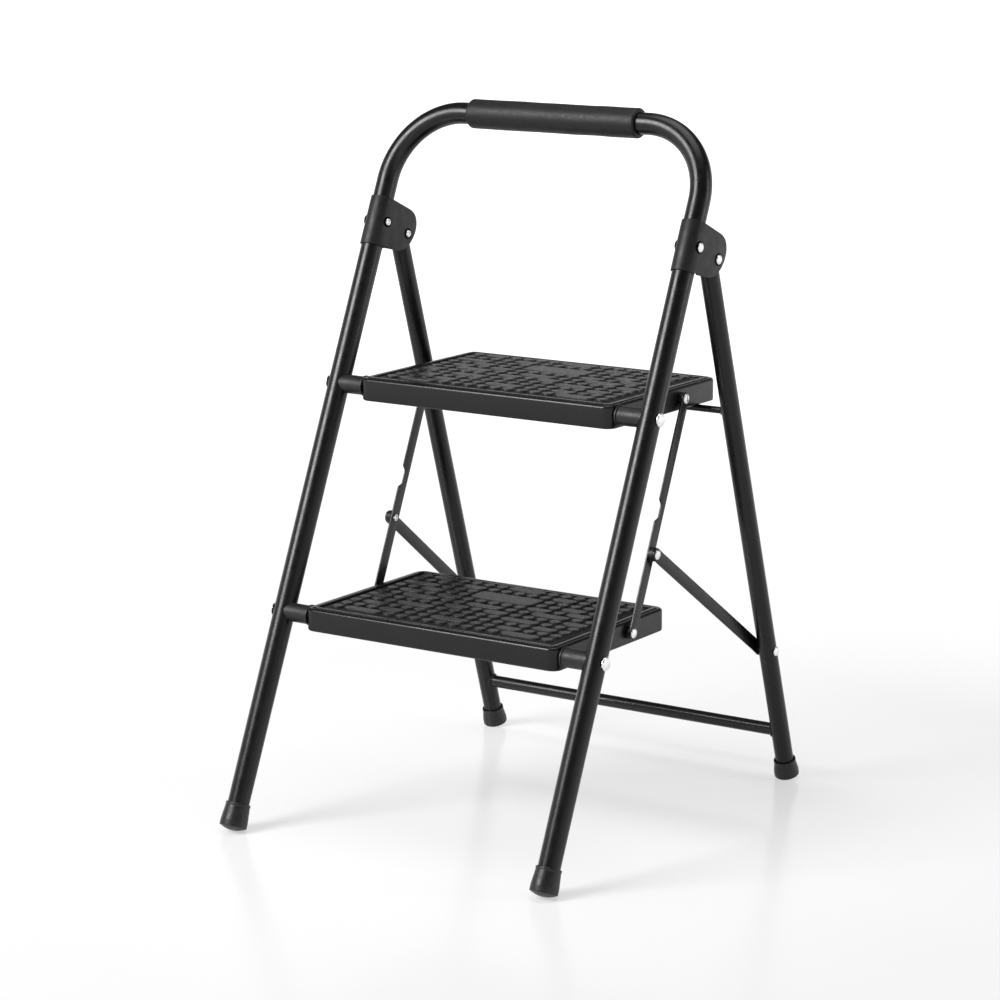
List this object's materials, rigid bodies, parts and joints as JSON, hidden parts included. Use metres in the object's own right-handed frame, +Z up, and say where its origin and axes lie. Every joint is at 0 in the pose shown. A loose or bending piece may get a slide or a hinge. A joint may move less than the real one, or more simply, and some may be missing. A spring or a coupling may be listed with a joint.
{
  "type": "folding step ladder",
  "caption": "Black steel two-step folding ladder: bent tube front frame with a foam-covered handrail, hinged rear legs, matted trays, link bars and struts.",
  "frame": {"origin": "on the floor, under the middle of the open ladder's outline", "axes": "+X to the right as seen by a person about to climb, +Y away from them to the rear legs, +Z up"},
  "size_m": [0.4622, 0.572, 0.8217],
  "materials": {
    "black_paint": "satin black powder coat",
    "zinc": "bright zinc plate",
    "black_rubber": "matt moulded rubber",
    "mat_rubber": "matt moulded rubber with low studs",
    "foam": "closed-cell foam sleeve, fine matt skin",
    "black_plastic": "matt moulded nylon"
  },
  "bodies": {
    "front_frame": {"front_frame_tube": "black_paint", "left_hinge_bracket": "black_paint", "right_hinge_bracket": "black_paint", "handle_grip": "foam", "front_left_foot_cap": "black_rubber", "front_right_foot_cap": "black_rubber", "left_bracket_fixing_rivet": "zinc", "left_bracket_pivot_rivet": "zinc", "right_bracket_fixing_rivet": "zinc", "right_bracket_pivot_rivet": "zinc", "upper_axle": "zinc", "lower_axle": "zinc", "upper_left_spacer": "black_plastic", "upper_right_spacer": "black_plastic", "lower_left_spacer": "black_plastic", "lower_right_spacer": "black_plastic"},
    "upper_step": {"upper_step_tray": "black_paint", "upper_step_mat": "mat_rubber", "upper_left_link_rivet": "zinc", "upper_right_link_rivet": "zinc", "upper_left_link_washer": "black_plastic", "upper_right_link_washer": "black_plastic"},
    "lower_step": {"lower_step_tray": "black_paint", "lower_step_mat": "mat_rubber", "lower_left_link_rivet": "zinc", "lower_right_link_rivet": "zinc", "lower_left_link_washer": "black_plastic", "lower_right_link_washer": "black_plastic"},
    "link_bars": {"left_link_bar": "black_paint", "right_link_bar": "black_paint", "left_strut_rivet_shank": "zinc", "right_strut_rivet_shank": "zinc", "left_strut_spacer": "black_plastic", "right_strut_spacer": "black_plastic"},
    "rear_frame": {"rear_left_leg": "black_paint", "rear_right_leg": "black_paint", "rear_lower_crossbar": "black_paint", "rear_upper_crossbar": "black_paint", "rear_left_foot_cap": "black_rubber", "rear_right_foot_cap": "black_rubber", "rear_left_strut_rivet": "zinc", "rear_right_strut_rivet": "zinc"},
    "struts": {"left_strut": "black_paint", "right_strut": "black_paint", "left_strut_rivet_head": "zinc", "right_strut_rivet_head": "zinc"}
  },
  "joints": [
    {"name": "upper_step_fold", "type": "hinge", "parent": "front_frame", "child": "upper_step", "pos_m": [0, -0.05601, 0.49408], "axis": [1, 0, 0], "range_deg": [0, 60.75]},
    {"name": "lower_step_fold", "type": "hinge", "parent": "front_frame", "child": "lower_step", "pos_m": [0, -0.16759, 0.24109], "axis": [1, 0, 0], "range_deg": [0, 60.8]},
    {"name": "link_bar_swing", "type": "hinge", "parent": "upper_step", "child": "link_bars", "pos_m": [0, 0.07899, 0.49328], "axis": [1, 0, 0], "range_deg": [-60.8, 0]},
    {"name": "rear_frame_fold", "type": "hinge", "parent": "front_frame", "child": "rear_frame", "pos_m": [0, 0.06562, 0.65858], "axis": [1, 0, 0], "range_deg": [-41.3, 0]},
    {"name": "strut_swing", "type": "hinge", "parent": "rear_frame", "child": "struts", "pos_m": [0, 0.21915, 0.17119], "axis": [1, 0, 0], "range_deg": [-30, 0]}
  ],
  "couplings": [
    {"joint": "lower_step_fold", "follows": "upper_step_fold", "ratio": 1},
    {"joint": "link_bar_swing", "follows": "upper_step_fold", "ratio": -1},
    {"joint": "rear_frame_fold", "follows": "upper_step_fold", "ratio": -0.67958},
    {"joint": "strut_swing", "follows": "upper_step_fold", "ratio": -0.49356}
  ]
}
